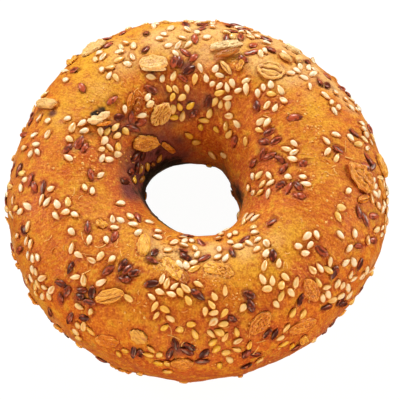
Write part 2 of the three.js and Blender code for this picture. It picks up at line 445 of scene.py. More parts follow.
class BagelFlakeSettings(bpy.types.PropertyGroup):
    thickness: length_setting("Thickness", "Thickness of a rolled flake", 0.9 * MM)
    straw: colour_setting("Straw", "A pale flake", "F4BA48")
    toasted: colour_setting("Toasted", "A toasted flake", "DE7A0C")
    # Ridge is the golden edge and mealy grain, and painted highlight on the ridges.
    ridge: colour_setting("Ridge", "The ridges and the edge, dry and golden", "FFC850")
    # Fibre is the fine lines along a flake, and a light painted shade where the creases start.
    fibre: colour_setting("Fibre", "The fine lines along a flake", "C66C1C")
    # Crease is painted shade in the creases, and the colour of the darkest flakes.
    crease: colour_setting("Crease", "The bran in the creases", "7E3A12")
    meal: colour_setting("Meal", "Bare meal", "FFEEC0")


class BagelBranSettings(bpy.types.PropertyGroup):
    crumb: length_setting("Crumb", "Size of a crumb", 0.75 * MM)
    sliver: length_setting("Sliver", "Length of a sliver of bran", 2.4 * MM)
    pale: colour_setting("Pale", "A pale crumb", "F6CE7C")
    brown: colour_setting("Brown", "A toasted crumb", "DC8E34")


class BagelStageSettings(bpy.types.PropertyGroup):
    floor: colour_setting("Floor", "The pale floor where light falls on it", "5C5B5A")
    glow: colour_setting("Glow", "The pale floor's own light", "FCFCFB")
    brightness: bpy.props.FloatProperty(
        name="Brightness", description="Makes all lights stronger or weaker", default=1.0, min=0.0
    )
    room: bpy.props.FloatProperty(
        name="Room light", description="Brightness of the room all round", default=0.06, min=0.0
    )
    bounce: colour_setting("Bounce", "The warm light that the room throws back", "FFDCB4")


# ------------------------------------------------------------------ the stage

# The camera looks along +Y and down at the ring, from an arm's length.
CAMERA_ELEVATION = math.radians(66)
CAMERA_DISTANCE = 450 * MM
CAMERA_AIM = Vector((0.69, -1.91, 18.15)) * MM
CAMERA_LENS = 143.4  # mm, on a sensor 36 mm wide
CAMERA_SENSOR = 36.0

FLOOR_SIDE = 4.0
BACKDROP_RADIUS = 3.0

# Soft boxes round the ring. Azimuth 0 is straight behind it and 90 is to its right. Angles are in
# degrees, side is in metres, and power in watts.
SoftBox = namedtuple("SoftBox", "name azimuth elevation side power colour")

SOFT_BOX_DISTANCE = 0.9

SOFT_BOXES = (
    SoftBox("key", -4, 30, 0.16, 6.6, "FFF8EA"),
    SoftBox("left", -72, 27, 0.20, 4.0, "FFF0D8"),
    SoftBox("right", 70, 27, 0.20, 3.2, "FFF0D8"),
    SoftBox("low left", -76, 4, 0.20, 1.5, "FFF0E0"),
    SoftBox("low right", 74, 4, 0.20, 3.0, "FFF0E0"),
    SoftBox("near left", -130, 4, 0.30, 1.0, "FFF0E0"),
    SoftBox("near right", 125, 4, 0.30, 1.4, "FFF0E0"),
    SoftBox("front", 180, 7, 0.40, 5.2, "FFD8B0"),
    SoftBox("high front", 180, 36, 0.30, 2.0, "FFD8B0"),
)


class BAGEL_OT_stage(bpy.types.Operator):
    """Lays the pale floor and sets the backdrop, the lights and the camera"""

    bl_idname = "bagel.stage"
    bl_label = "Stage"

    def execute(self, context):
        settings = context.scene.bagel_stage
        aim_camera()
        set_floor(settings)
        for box in SOFT_BOXES:
            hang_light(box, settings.brightness)
        light_room(settings)
        return {"FINISHED"}


def aim_camera():
    """The camera, turned down from the horizon by its elevation."""
    back = Vector((0, -math.cos(CAMERA_ELEVATION), math.sin(CAMERA_ELEVATION)))
    camera = started(
        bpy.ops.object.camera_add,
        "camera",
        location=CAMERA_AIM + back * CAMERA_DISTANCE,
        rotation=(math.pi / 2 - CAMERA_ELEVATION, 0, 0),
    )
    camera.data.lens = CAMERA_LENS
    camera.data.sensor_width = CAMERA_SENSOR
    camera.data.clip_start = CAMERA_DISTANCE / 100
    bpy.context.scene.camera = camera
    bpy.context.view_layer.update()


def set_floor(settings):
    """A plain pale floor and a round backdrop. Both glow, as a table lit from below does, and
    neither throws colour back on the crust."""
    floor = started(bpy.ops.mesh.primitive_plane_add, "floor", size=FLOOR_SIDE)
    floor.data.materials.append(stage_material("Pale matte board", settings.floor, settings.glow))
    backdrop = started(bpy.ops.mesh.primitive_uv_sphere_add, "backdrop", radius=BACKDROP_RADIUS)
    backdrop.data.materials.append(stage_material("Pale backdrop", (0, 0, 0, 1), (1, 1, 1, 1)))
    backdrop.visible_shadow = False
    for stage in (floor, backdrop):
        stage.visible_diffuse = False
        stage.visible_glossy = False


def stage_material(name, colour, glow):
    """Painted board: quite matte, with a light of its own."""
    material, tree, shader = blank_material(name)
    matte = {"Base Color": colour, "Roughness": 0.8, "Specular IOR Level": 0.0}
    fill_inputs(tree, shader, {**matte, "Emission Color": glow, "Emission Strength": 1.0})
    return material


def hang_light(box, brightness):
    """A square soft box that faces the ring."""
    turn = math.radians(box.azimuth)
    rise = math.radians(box.elevation)
    towards = Vector(
        (math.sin(turn) * math.cos(rise), math.cos(turn) * math.cos(rise), math.sin(rise))
    )
    place = CAMERA_AIM + towards * SOFT_BOX_DISTANCE
    light = started(bpy.ops.object.light_add, box.name, type="AREA", location=place)
    light.rotation_euler = towards.to_track_quat("Z", "Y").to_euler()
    light.data.size = box.side
    light.data.energy = box.power * brightness
    light.data.color = linear(box.colour)[:3]


def light_room(settings):
    """The pale room all round, and plain colours that aren't bent by a film curve."""
    world = bpy.data.worlds.new("Pale room")
    world.use_nodes = True
    background = world.node_tree.nodes["Background"]
    fill_inputs(world.node_tree, background, {"Color": settings.bounce, "Strength": settings.room})
    bpy.context.scene.world = world
    bpy.context.scene.view_settings.view_transform = "Standard"


# ------------------------------------------------------------------ the crust

TURNS = 120  # faces around the ring before it is subdivided
ROLLS = 44  # faces around its section
FLAT_BAND = 0.35 * MM  # what is lower than this is pressed flat by the tray

# Sizes of the unevenness of the dough, from the widest to the finest.
LUMP_GRAIN = 19 * MM
DIMPLE_GRAIN = 6.5 * MM
PIMPLE_GRAIN = 2.2 * MM

# Where the dough bulges into the hole. Azimuth is in degrees anticlockwise from the right, and
# height and swell are in mm.
Bulge = namedtuple("Bulge", "azimuth height swell")

BULGES = (Bulge(32, 14, 0.9), Bulge(92, 14, 0.9), Bulge(156, 15, 0.7))
BULGE_REACH = 11 * MM
BULGE_CORE = BULGE_REACH / 10  # moved all the way, without a falloff
WALL_ANGLE = 0.2  # what lies within this many radians of an azimuth is searched for the wall


class BAGEL_OT_crust(bpy.types.Operator):
    """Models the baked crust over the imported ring"""

    bl_idname = "bagel.crust"
    bl_label = "Crust"

    def execute(self, context):
        settings = context.scene.bagel_crust
        crust = dough_ring(settings)
        swell_dough(crust, settings)
        press_underside(crust)
        bpy.ops.object.shade_smooth()
        crust.data.materials.append(crust_material(settings))
        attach(crust, BODY)
        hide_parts(RING_NODE)
        seedbed.lay(crust, settings.lip)
        # Marks of the crust's colour: gold partly painted light, red and scorched partly painted shade, dry
        # partly painted rim light, and the black marks all painted shadow.
        seedbed.brown("gold", GOLD_AND_LIGHT_PLACES)
        seedbed.brown("red", RED_AND_SHADE_PLACES)
        seedbed.brown("dry", DRY_AND_RIM_LIGHT_PLACES)
        seedbed.brown("scorched", SCORCH_AND_SHADE_PLACES, PAINTED_SHADE_WALL)
        seedbed.brown("charred", PAINTED_SHADOW_PLACES, PAINTED_SHADOW_WALL)
        return {"FINISHED"}


def dough_ring(settings):
    """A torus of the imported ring's size, drawn onto it and smoothed."""
    low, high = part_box(RING_NODE)
    outer = (high.x - low.x + high.y - low.y) / 4
    rope = outer - settings.hole_radius
    ring = started(
        bpy.ops.mesh.primitive_torus_add,
        "crust",
        major_segments=TURNS,
        minor_segments=ROLLS,
        major_radius=outer - rope / 2,
        minor_radius=rope / 2,
    )
    with editing(ring):
        bpy.ops.transform.resize(value=(1, 1, (high.z - low.z) / rope))
        bpy.ops.transform.translate(value=(0, 0, (high.z + low.z) / 2))
    finish_with(ring, "SHRINKWRAP", target=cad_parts[RING_NODE])
    finish_with(ring, "SMOOTH", factor=0.5, iterations=3)
    for bulge in BULGES:
        push_into_hole(ring, bulge)
    finish_with(ring, "SUBSURF", levels=2, render_levels=2)
    return ring


def push_into_hole(ring, bulge):
    """Moves the wall of the hole inwards at one place, and what is near it a little less."""
    turn = math.radians(bulge.azimuth)
    outwards = Vector((math.cos(turn), math.sin(turn), 0))
    target = Vector((0, 0, bulge.height * MM))
    places = [vertex.co.copy() for vertex in ring.data.vertices]
    wall = [place for place in places if (place - target).angle(outwards) < WALL_ANGLE]
    nearest = min(wall, key=lambda place: (place - target).length)
    with editing(ring):
        select_where(ring, lambda place: (place - nearest).length < BULGE_CORE)
        bpy.ops.transform.translate(
            value=outwards * -bulge.swell * MM,
            use_proportional_edit=True,
            proportional_size=BULGE_REACH,
            proportional_edit_falloff="SMOOTH",
        )


def swell_dough(crust, settings):
    """Lumps from shaping by hand, dimples between blisters, and the fine blisters themselves."""
    grains = (
        ("lumps", LUMP_GRAIN, settings.lump_depth),
        ("dimples", DIMPLE_GRAIN, settings.dimple_depth),
        ("pimples", PIMPLE_GRAIN, settings.pimple_depth),
    )
    for name, grain, depth in grains:
        texture = bpy.data.textures.new(name, "CLOUDS")
        texture.noise_scale = grain
        texture.noise_depth = 1
        finish_with(crust, "DISPLACE", texture=texture, texture_coords="LOCAL", strength=depth)


def press_underside(crust):
    """Flattens what the tray pressed."""
    with editing(crust):
        select_where(crust, lambda place: place.z < FLAT_BAND)
        bpy.ops.transform.resize(value=(1, 1, 0), center_override=(0, 0, 0))


STREAK_WIDTH = 0.7 * MM
STREAK_LENGTH = 3.2 * MM
ROPE_MIDDLE = 33 * MM  # how far from the middle of the hole the rope runs

# What makes the crust's colour and skin uneven: the size of a noise's grain in mm, its detail and
# its roughness. A real crust's finest grain is some 0.2 mm. It is drawn coarser, or it wouldn't show.
CRUST_NOISES = (
    (15, 2.0, 0.55),  # patchy
    (3.6, 3.0, 0.6),  # mottled
    (1.8, 1.0, 0.5),  # spotted
    (1.0, 1.0, 0.6),  # speckled
    (0.5, 1.0, 0.6),  # grainy
    (0.9, 3.0, 0.65),  # pimpled
)


def crust_material(settings):
    """Baked bread crust: wheat dough, browned and dried in the oven. Its sugars and starch give a
    satin skin with small blisters, gold where it dried first and red brown where it baked slowly.
    Its colour also holds painted light and shade: more gold as painted light on the back, the top
    and the near slope of the hole, more red brown and scorched dark as painted shade low on the
    flank, on the front and in the hole, black as painted shadow in hollows and low on the wall of
    the hole, pale dry places as painted rim light along the outline, and darker crust round each
    seed as painted contact shade."""
    material, tree, shader = blank_material("Baked bread crust")
    place = add_node(tree, "TexCoord", {}, "Object")
    height = add_node(tree, "SeparateXYZ", {"Vector": place}, "Z")
    gold, red, dry, scorched, charred, near = (
        add_node(tree, "Attribute", {}, "Fac", attribute_name=name)
        for name in ("gold", "red", "dry", "scorched", "charred", "near")
    )
    patchy, mottled, spotted, speckled, grainy, pimpled = (
        add_node(
            tree,
            "TexNoise",
            {"Vector": place, "Scale": 1 / (size * MM), "Detail": detail, "Roughness": roughness},
        )
        for size, detail, roughness in CRUST_NOISES
    )
    # The skin was drawn over the rope as it was shaped, in fine streaks from the hole outwards.
    flat = add_node(tree, "VectorMath", {0: place, 1: (1, 1, 0)}, operation="MULTIPLY")
    towards = add_node(tree, "VectorMath", {0: flat}, operation="NORMALIZE")
    slowly = STREAK_WIDTH / STREAK_LENGTH / ROPE_MIDDLE
    steps = {0: place, 1: (slowly, slowly, slowly), 2: towards}
    drawn = add_node(tree, "VectorMath", steps, operation="MULTIPLY_ADD")
    streaks = {"Vector": drawn, "Scale": ROPE_MIDDLE / STREAK_WIDTH, "Detail": 2.0, "Roughness": 0.6}
    streaked = add_node(tree, "TexNoise", streaks)
    # The edges of the scorched places, mostly painted shade, and of the painted shadow are ragged.
    # The mask of the scorched places, mostly painted shade.
    caught = add_node(tree, "Math", {0: mottled, 1: 1.0, 2: scorched}, operation="MULTIPLY_ADD")
    ragged_shadow = add_node(tree, "Math", {0: spotted, 1: 1.2, 2: charred}, operation="MULTIPLY_ADD")
    layers = (
        Layer(patchy, 0.50, 0.70, 0.4, settings.gold),
        # Partly painted shade: red low on the front and on the far wall of the hole.
        Layer(red, 0.0, 1.0, 0.9, settings.red),
        # Partly painted shade: redder low on the flank and in the hole.
        Layer(height, 18 * MM, 8 * MM, 0.35, settings.red),
        # Painted contact shade round each seed.
        Layer(near, 0.2, 1.0, 0.6, settings.oily),
        # Partly painted light: gold where light falls on the back, the top and the near slope of the hole.
        Layer(gold, 0.0, 1.0, 0.85, settings.gold),
        Layer(mottled, 0.50, 0.68, 0.55, settings.gold),
        Layer(mottled, 0.50, 0.32, 0.45, settings.red),
        Layer(spotted, 0.58, 0.74, 0.35, settings.gold),
        Layer(spotted, 0.42, 0.28, 0.3, settings.oily),
        Layer(streaked, 0.50, 0.68, 0.28, settings.gold),
        Layer(streaked, 0.48, 0.32, 0.25, settings.oily),
        # Partly painted light: pale along the outline and on the near slope of the hole, which also has some
        # flour.
        Layer(dry, 0.0, 1.0, 0.75, settings.dry),
        # Painted contact shade round each seed, again over the dry places.
        Layer(near, 0.4, 1.0, 0.3, settings.oily),
        Layer(speckled, 0.60, 0.74, 0.5, settings.pale),
        Layer(grainy, 0.48, 0.74, 0.18, settings.pale),
        # Mostly painted shade: dark in the hole and in hollows, with some scorched crust.
        Layer(caught, 0.55, 1.5, 0.95, settings.scorched),
        Layer(speckled, 0.54, 0.28, 0.4, settings.shade, "MULTIPLY"),
        Layer(grainy, 0.54, 0.28, 0.5, settings.shade, "MULTIPLY"),
        # Painted shadow: black in hollows and low on the wall of the hole.
        Layer(ragged_shadow, 0.75, 1.5, 0.98, settings.charred),
        Layer(height, 1.6 * MM, 0.4 * MM, 1.0, settings.toasted),
    )
    wrinkled = add_node(tree, "Math", {0: streaked, 1: 0.4, 2: pimpled}, operation="MULTIPLY_ADD")
    bump = {"Strength": 0.9, "Distance": 0.4 * MM, "Height": wrinkled}
    gloss = {"Value": mottled, "From Min": 0.35, "From Max": 0.65, "To Min": 0.42, "To Max": 0.62}
    skin = {
        "Base Color": layered(tree, settings.orange, layers),
        "Normal": add_node(tree, "Bump", bump),
        "Roughness": add_node(tree, "MapRange", gloss),
        "IOR": 1.45,
        "Specular IOR Level": 0.28,
    }
    # Fine flour on the skin makes it paler where it turns away.
    flour = {"Sheen Weight": 0.2, "Sheen Roughness": 0.3, "Sheen Tint": settings.flour}
    fill_inputs(tree, shader, {**skin, **flour})
    return material


# ------------------------------------------------------------------ places on the crust

Spot = namedtuple("Spot", "point normal heading")

LOWEST_SEED = 9 * MM  # the flank is bare below this
TRIES = 60  # how often a seed looks for a free place
RIM_STEPS = 6  # how often a place past the rim slides inwards
RIM_SLIDE = 0.008  # and how far each time, as a share of the way to the middle
HIDDEN_DEPTH = 1.5 * MM  # a place this far behind what the camera sees is hidden
TURNED_AWAY = 0.26  # crust that turns away by more than this share can't show what lies on it
# What one pixel of the picture covers on the ring.
PIXEL = CAMERA_DISTANCE * CAMERA_SENSOR / CAMERA_LENS / PICTURE_SIDE

# The painted contact shade round a seed reaches as far as this.
NEAR = 1.3 * MM  # a seed darkens the crust as far as this from its edge
LIP_MIDDLE = 0.55 * MM  # how far from a seed's edge the dough swells most
LIP_WIDTH = 0.45 * MM


class Seedbed:
    """The crust as a bed for toppings. It finds places on it and keeps those that are taken."""

    def lay(self, crust, lip):
        """Takes the crust's surface and clears all places."""
        self.shape = crust.data
        self.lip = lip
        corners = [vertex.co.copy() for vertex in self.shape.vertices]
        faces = [tuple(face.vertices) for face in self.shape.polygons]
        self.surface = BVHTree.FromPolygons(corners, faces)
        self.corners = np.array(corners)
        self.normals = np.array([vertex.normal for vertex in self.shape.vertices])
        self.tree = KDTree(len(corners))
        for number, corner in enumerate(corners):
            self.tree.insert(corner, number)
        self.tree.balance()
        self.centres = np.array([face.center for face in self.shape.polygons])
        areas = np.array([face.area for face in self.shape.polygons])
        self.shares = areas / areas.sum()
        self.taken = np.empty((0, 4))
        self.gaps = np.full(len(corners), NEAR)
        self.marks = {}

    def mark(self, name, values):
        """Writes one value for each of the crust's points."""
        self.marks[name] = values
        attributes = self.shape.attributes
        layer = attributes.get(name) or attributes.new(name, "FLOAT", "POINT")
        layer.data.foreach_set("value", values.astype(np.float32))

    def brown(self, name, places, wall=()):
        """Spreads one colour of the crust round its places, fading outwards."""
        middles = [
            (self.seen_at(*at, 0.0, PIMPLE_GRAIN), reach * PIXEL, share) for *at, reach, share in places
        ]
        middles += [(self.on_wall(*at), reach * MM, share) for *at, reach, share in wall]
        bare = np.ones(len(self.corners))
        for spot, reach, share in middles:
            if spot is None:
                raise RuntimeError(f"a place of the colour {name} is not on the crust")
            away = np.linalg.norm(self.corners - np.array(spot.point), axis=1) / reach
            bare *= 1 - share * np.clip(1 - away**2, 0, 1) ** 2
        self.mark(name, 1 - bare)

    def on_wall(self, azimuth, height):
        """The spot on the wall of the hole at an azimuth in degrees and a height in mm."""
        turn = math.radians(azimuth)
        outwards = Vector((math.cos(turn), math.sin(turn), 0))
        point, normal, _, _ = self.surface.ray_cast(Vector((0, 0, height * MM)), outwards)
        return Spot(point, normal, normal.orthogonal())

    def mark_at(self, name, point):
        """The value that the crust has at a point."""
        return self.marks[name][self.tree.find(point)[1]]

    def press(self):
        """Presses what lies on the crust a little way in, so that the dough swells round it."""
        for *place, radius in self.taken:
            for _, number, away in self.tree.find_range(place, radius + NEAR):
                self.gaps[number] = min(self.gaps[number], away - radius)
        # The crust near each seed is marked for painted contact shade.
        self.mark("near", 1 - np.clip(self.gaps, 0, NEAR) / NEAR)
        # The dough swells round a seed and is pressed in under it.
        swell = np.exp(-(((self.gaps - LIP_MIDDLE) / LIP_WIDTH) ** 2)) - (self.gaps < 0)
        moved = self.corners + self.normals * (swell * self.lip)[:, None]
        self.shape.vertices.foreach_set("co", moved.astype(np.float32).ravel())
        self.shape.update()

    def sight(self, x, y):
        """The camera's place, and the direction in which it sees a point of its picture."""
        camera = bpy.context.scene.camera
        reach = PICTURE_SIDE * CAMERA_LENS / CAMERA_SENSOR
        across = Vector((x - PICTURE_SIDE / 2, PICTURE_SIDE / 2 - y, -reach))
        return camera.matrix_world.translation, (camera.matrix_world.to_3x3() @ across).normalized()

    def seen_at(self, x, y, heading, reach):
        """The spot that the camera sees at a point of its picture, or None past the crust."""
        for _ in range(RIM_STEPS):
            eye, ray = self.sight(x, y)
            point = self.surface.ray_cast(eye, ray)[0]
            if point is not None:
                break
            # A place just past the rim slides inwards until it is on the crust.
            x += (PICTURE_SIDE / 2 - x) * RIM_SLIDE
            y += (PICTURE_SIDE / 2 - y) * RIM_SLIDE
        if point is None or point.z < LOWEST_SEED:
            return None
        normal = self.normal_at(point, reach)
        # The heading in the picture is where a second ray meets the crust's tangent plane.
        _, other = self.sight(x + math.cos(heading), y - math.sin(heading))
        away = (point - eye).dot(normal) / other.dot(normal)
        return Spot(point, normal, (eye + other * away - point).normalized())

    def normal_at(self, point, reach):
        """The mean normal of the crust around a point."""
        near = self.surface.find_nearest_range(point, reach)
        return sum((hit[1] for hit in near), Vector()).normalized()

    def anywhere(self, chance, heading, reach):
        """A random spot on the whole crust."""
        point = Vector(self.centres[chance.choice(len(self.centres), p=self.shares)])
        normal = self.normal_at(point, reach)
        along = normal.orthogonal().normalized()
        along.rotate(Matrix.Rotation(heading, 3, normal))
        return Spot(point, normal, along)

    def is_seen(self, spot):
        """True if the camera sees a spot."""
        eye = bpy.context.scene.camera.matrix_world.translation
        towards = (spot.point - eye).normalized()
        if spot.normal.dot(towards) > TURNED_AWAY:
            return False
        hit = self.surface.ray_cast(eye, towards)[0]
        return hit is not None and (hit - spot.point).length < HIDDEN_DEPTH

    def take(self, spot, length, width, crowding):
        """Books the ground under a long shape, unless something lies there. Shapes may touch at a
        crowding of 1, overlap below it, and lie on each other at 0."""
        radius = width / 2
        steps = max(1, round((length - width) / radius) + 1)
        offsets = np.linspace(-1, 1, steps) * max(0.0, length - width) / 2
        places = np.array(spot.point) + np.outer(offsets, np.array(spot.heading))
        if len(self.taken):
            gaps = np.linalg.norm(places[:, None] - self.taken[None, :, :3], axis=2)
            if (gaps < (radius + self.taken[None, :, 3]) * crowding).any():
                return False
        rows = np.column_stack([places, np.full(len(places), radius)])
        self.taken = np.vstack([self.taken, rows])
        return True


seedbed = Seedbed()


def spots_in(patches, chance, length, width, crowding):
    """Free spots in the patches, with seeds lying every way."""
    spots = []
    for x, y, reach, seeds in patches:
        for _ in range(seeds):
            for _ in range(TRIES):
                away = reach * math.sqrt(chance.random())
                turn = chance.uniform(0, 2 * math.pi)
                heading = chance.uniform(0, 2 * math.pi)
                beside = (x + away * math.cos(turn), y + away * math.sin(turn))
                spot = seedbed.seen_at(*beside, 0.0, width / 2)
                if spot is None:
                    continue
                spot.heading.rotate(Matrix.Rotation(heading, 3, spot.normal))
                if seedbed.take(spot, length, width, crowding):
                    spots.append(spot)
                    break
    return spots


def spots_behind(count, chance, length, width, crowding):
    """Free spots where the camera doesn't see: the back flank and the near wall of the hole."""
    spots = []
    for _ in range(count * TRIES):
        if len(spots) == count:
            break
        spot = seedbed.anywhere(chance, chance.uniform(0, 2 * math.pi), width / 2)
        free = spot.point.z > LOWEST_SEED and not seedbed.is_seen(spot)
        if free and seedbed.take(spot, length, width, crowding):
            spots.append(spot)
    return spots


def share_past(value, start, end):
    """How far a value lies on its way from start to end, from 0 to 1."""
    return min(1.0, max(0.0, (value - start) / (end - start)))


def laid_on(spot, chance, rise, tilt):
    """The matrix that lays a shape on a spot, tilted a little by chance."""
    along = spot.heading
    side = spot.normal.cross(along).normalized()
    matrix = Matrix((along, side, spot.normal)).transposed().to_4x4()
    matrix.translation = spot.point + spot.normal * rise
    roll = Matrix.Rotation(chance.normal(0, tilt), 4, "X")
    pitch = Matrix.Rotation(chance.normal(0, tilt), 4, "Y")
    return matrix @ roll @ pitch


# A modelled shape's points and faces. relief says for each point how far it lies in a crease, from
# 0 to 1, or out on a ridge, down to -1. rim runs from 0 on top to 1 at the edge and below it.
Mould = namedtuple("Mould", "points faces relief rim")

RIM_START = 0.8  # a seed's rim starts at this share of its height
MARKS = ("tone", "relief", "rim")  # what a joined piece says of its points, for its material
GRAIN_STEP = np.array((11.0, 7.0, 5.0)) * MM  # keeps the patterns of two copies apart


def as_mould(piece):
    """Takes a modelled shape's points and faces, and removes the shape."""
    points = np.array([vertex.co for vertex in piece.data.vertices])
    faces = [tuple(face.vertices) for face in piece.data.polygons]
    bpy.data.objects.remove(piece)
    top = points[:, 2].max()
    rim = np.clip(1 - points[:, 2] / (RIM_START * top), 0, 1)
    return Mould(points, faces, np.zeros(len(points)), rim)


def joined(name, laid):
    """One mesh of many copies. laid holds a mould, a matrix and a tone for each copy."""
    places, faces, tones, reliefs, rims, grains = [], [], [], [], [], []
    start = 0
    for number, (mould, matrix, tone) in enumerate(laid):
        turned = np.array(matrix)
        places.append(mould.points @ turned[:3, :3].T + turned[:3, 3])
        faces.extend([tuple(corner + start for corner in face) for face in mould.faces])
        tones.append(np.full(len(mould.points), tone))
        reliefs.append(mould.relief)
        rims.append(mould.rim)
        grains.append(mould.points + number * GRAIN_STEP)
        start += len(mould.points)
    shape = bpy.data.meshes.new(name)
    shape.from_pydata(np.concatenate(places).tolist(), [], faces)
    for label, values in zip(MARKS, (tones, reliefs, rims)):
        layer = shape.attributes.new(label, "FLOAT", "POINT")
        layer.data.foreach_set("value", np.concatenate(values).astype(np.float32))
    layer = shape.attributes.new("grain", "FLOAT_VECTOR", "POINT")
    layer.data.foreach_set("vector", np.concatenate(grains).astype(np.float32).ravel())
    shape.shade_smooth()
    piece = bpy.data.objects.new(name, shape)
    bpy.context.scene.collection.objects.link(piece)
    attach(piece, BODY)
    return piece


SEED_SEGMENTS = 8  # faces round a seed
BALL_RADIUS = 0.5  # a drop starts as a ball one unit across, which takes on its size at the end
RING_GAP = 0.01  # points whose heights differ by less lie on one ring of the ball


def drop_shape(name, size, girths):
    """A flattened drop with its point towards +X: a ball whose rings are drawn in one by one."""
    rings = len(girths) + 1
    ball = {"segments": SEED_SEGMENTS, "ring_count": rings, "radius": BALL_RADIUS}
    drop = started(bpy.ops.mesh.primitive_uv_sphere_add, name, **ball)
    with editing(drop):
        for number, girth in enumerate(girths, start=1):
            height = BALL_RADIUS * math.cos(math.pi * number / rings)
            select_where(drop, lambda place, height=height: abs(place.z - height) < RING_GAP)
            bpy.ops.transform.resize(value=(girth, girth, 1), center_override=(0, 0, 0))
        bpy.ops.mesh.select_all(action="SELECT")
        bpy.ops.transform.rotate(value=-math.pi / 2, orient_axis="Y", center_override=(0, 0, 0))
        bpy.ops.transform.resize(value=size, center_override=(0, 0, 0))
    return drop


# How a grain departs from a plain flattened drop. girths are those of its rings, from its tip to
# its blunt end, and plump multiplies its thickness. All others are heights in mm, apart from blunt,
# ragged and offset, which are shares:
#   wrinkles and ribs  run along it, between sharp creases, and across it
#   grain and lumps    are fine and coarse unevenness
#   slit               is the crease along it, with a lip on each side, offset from its middle
#   ring               is a groove round it, inside its edge
#   rim and hollow     raise its edge and sink its middle
#   curl and fold      bend its ends and its sides up, or down where they are negative
#   blunt              makes it a plate with a thick edge
#   ragged             makes its outline uneven
Form = namedtuple(
    "Form",
    "girths plump wrinkles ribs grain lumps slit offset ring rim hollow curl fold blunt ragged",
    defaults=(1.0, *(0.0,) * 13),
)

WRINKLE_SPACING = 0.9  # mm
RIB_SPACING = 1.05  # mm
RELIEF_GAIN = -2.4  # relief for each mm of height
OWN_PLACE = (9.1, 3.7)  # mm, keeps the unevenness of two grains apart

# How fine each unevenness is, as waves for each mm. The drift's are given along and across.
DRIFT_WAVES = (0.3, 0.45)
SLIT_WAVES = 0.4
FINE_WAVES = 2.3
COARSE_WAVES = 0.8
OUTLINE_WAVES = ((0.22, 0.7), (0.16, 2.1))  # with the share by which each moves the outline

# How far the wrinkles, the ribs and the slit wander, and how much the ribs slant.
WRINKLE_DRIFT = 1.3
RIB_DRIFT = 5
SLIT_DRIFT = 0.22
RIB_SLANT = 0.5

SHOULDER = 0.35  # how far the face stands up between two wrinkles, as a share of their depth
RIM_HEIGHT = 0.7  # the mean height of a rim, as a share. Its lumps come on top
TEXTURE = 1.15  # the share of the fine unevenness in the middle. It is 1 less at the edge

# Where each feature runs and how wide it is, as shares of the way from the middle to the edge.
SLIT = (0.0, 0.10)
LIPS = (0.26, 0.13)
RING = (0.72, 0.08)
RIM = (0.88, 0.12)
HOLLOW = (0.0, 0.5)


def sculpted(blank, size, form, number):
    """A grain's own shape: a blank with its creases, ridges and bends."""
    half = [side / MM / 2 for side in size]
    moved = [sculpted_point(Vector(point) / MM, half, form, number) for point in blank.points]
    points = np.array([point for point, _ in moved]) * MM
    relief = np.clip([depth for _, depth in moved], -1.0, 1.0)
    return Mould(points, blank.faces, relief, blank.rim)


def hump(value, middle, width):
    """A smooth hump, 1 high, over one value of many."""
    return math.exp(-(((value - middle) / width) ** 2))


def sculpted_point(point, half, form, number):
    """A grain's point in mm, moved as its form says, and how deep it lies in a crease."""
    along = point.x / half[0]
    across = point.y / half[1]
    away = min(1.0, math.hypot(along, across))
    place = Vector((point.x + number * OWN_PLACE[0], point.y + number * OWN_PLACE[1], 0.0))
    # Wrinkles and ribs wander, and so does the slit.
    drift = noise.noise(Vector((place.x * DRIFT_WAVES[0], place.y * DRIFT_WAVES[1], 0.0)))
    crease = max(0.0, math.sin(2 * math.pi * (point.y / WRINKLE_SPACING + WRINKLE_DRIFT * drift))) ** 2
    slanted = point.x + RIB_SLANT * abs(point.y)
    rib = math.sin(2 * math.pi * slanted / RIB_SPACING + RIB_DRIFT * drift)
    wander = SLIT_DRIFT * noise.noise(Vector((place.x * SLIT_WAVES, 3.0, 0.0)))
    middle = across - form.offset + wander
    grain = noise.noise(place * FINE_WAVES)
    lump = noise.noise(place * COARSE_WAVES)
    # The slit and its lips end before the tips.
    slit = hump(middle, *SLIT) * max(0.0, 1 - abs(along) ** 3)
    lips = hump(abs(middle), *LIPS) * max(0.0, 1 - abs(along) ** 4)
    ring = hump(away, *RING)
    rim = hump(away, *RIM) * (RIM_HEIGHT + lump)
    hollow = hump(away, *HOLLOW)
    texture = form.wrinkles * (SHOULDER - crease) + form.ribs * 0.5 * rib + form.grain * grain
    carved = form.slit * (0.5 * lips - slit) - form.ring * ring + form.rim * rim - form.hollow * hollow
    bent = form.curl * along**2 + form.fold * across**2
    height = point.z + texture * (TEXTURE - away**2) + form.lumps * lump + carved + bent
    outline = sum(share * noise.noise(place * waves) for share, waves in OUTLINE_WAVES)
    spread = 1 + form.ragged * outline * away
    return Vector((point.x * spread, point.y * spread, height)), RELIEF_GAIN * (texture + carved)


# ------------------------------------------------------------------ flakes

FLAKE_COLUMNS = 44
FLAKE_ROWS = 30
FLAKE_CROWDING = 0.6
FLAKE_TILT = 0.06  # how much flakes are tilted by chance, in radians
FLAKE_RIM = 0.75  # a flake's rim starts at this share of the way to its edge
FLAKE_FLOOR = -0.6  # how low its floor lies, as a share of half its thickness

# The flakes that the camera doesn't see.
BEHIND_FLAKES = 7
BEHIND_SIZE = (7.0, 4.4)  # mm
BEHIND_TONES = (0.2, 0.8)
BEHIND_RISE = 0.4  # mm
BEHIND_TIP = 6  # degrees

